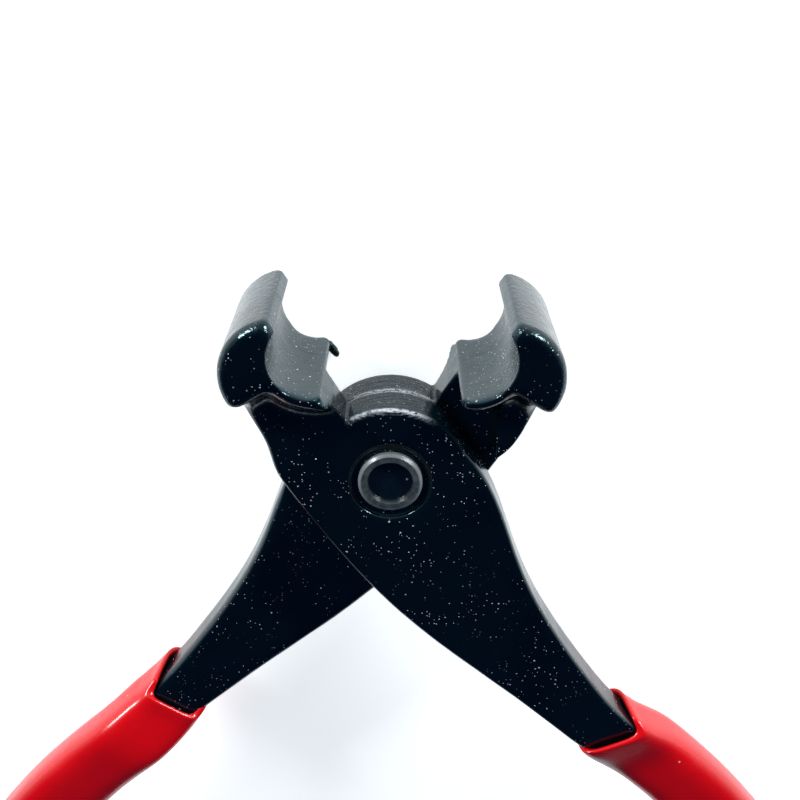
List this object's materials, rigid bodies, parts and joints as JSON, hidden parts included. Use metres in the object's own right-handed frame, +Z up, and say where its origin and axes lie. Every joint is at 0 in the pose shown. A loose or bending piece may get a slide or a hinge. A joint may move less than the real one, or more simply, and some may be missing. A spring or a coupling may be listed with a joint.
{
  "type": "mosaic glass nippers",
  "caption": "Hand nippers for glass and tile mosaic: crossed forged arms on a riveted lap pivot, wide C-shaped jaws with ground lands, dipped vinyl grips.",
  "frame": {"origin": "on the surface the tool lies on, at the middle of the open tool's outline; the pivot axis stands at x = 0, y = 54.4 mm", "axes": "+Z up, along the pivot rivet, from the back arm's side to the front arm's; +Y from the pivot to the jaws; +X across the tool, towards the front arm's handle"},
  "size_m": [0.204, 0.1629, 0.025],
  "materials": {
    "painted_steel": "gloss black enamel over a drop forging",
    "rivet_steel": "black enamel over steel, rubbed on the rim",
    "grip_vinyl": "glossy dipped vinyl, red"
  },
  "bodies": {
    "front_half": {"front_arm": "painted_steel", "front_grip": "grip_vinyl", "pivot_rivet": "rivet_steel"},
    "back_half": {"back_arm": "painted_steel", "back_grip": "grip_vinyl"}
  },
  "joints": [
    {"name": "pivot", "type": "hinge", "parent": "front_half", "child": "back_half", "pos_m": [0, 0.0544, 0.0125], "axis": [0, 0, 1], "range_deg": [-6, 64]}
  ]
}
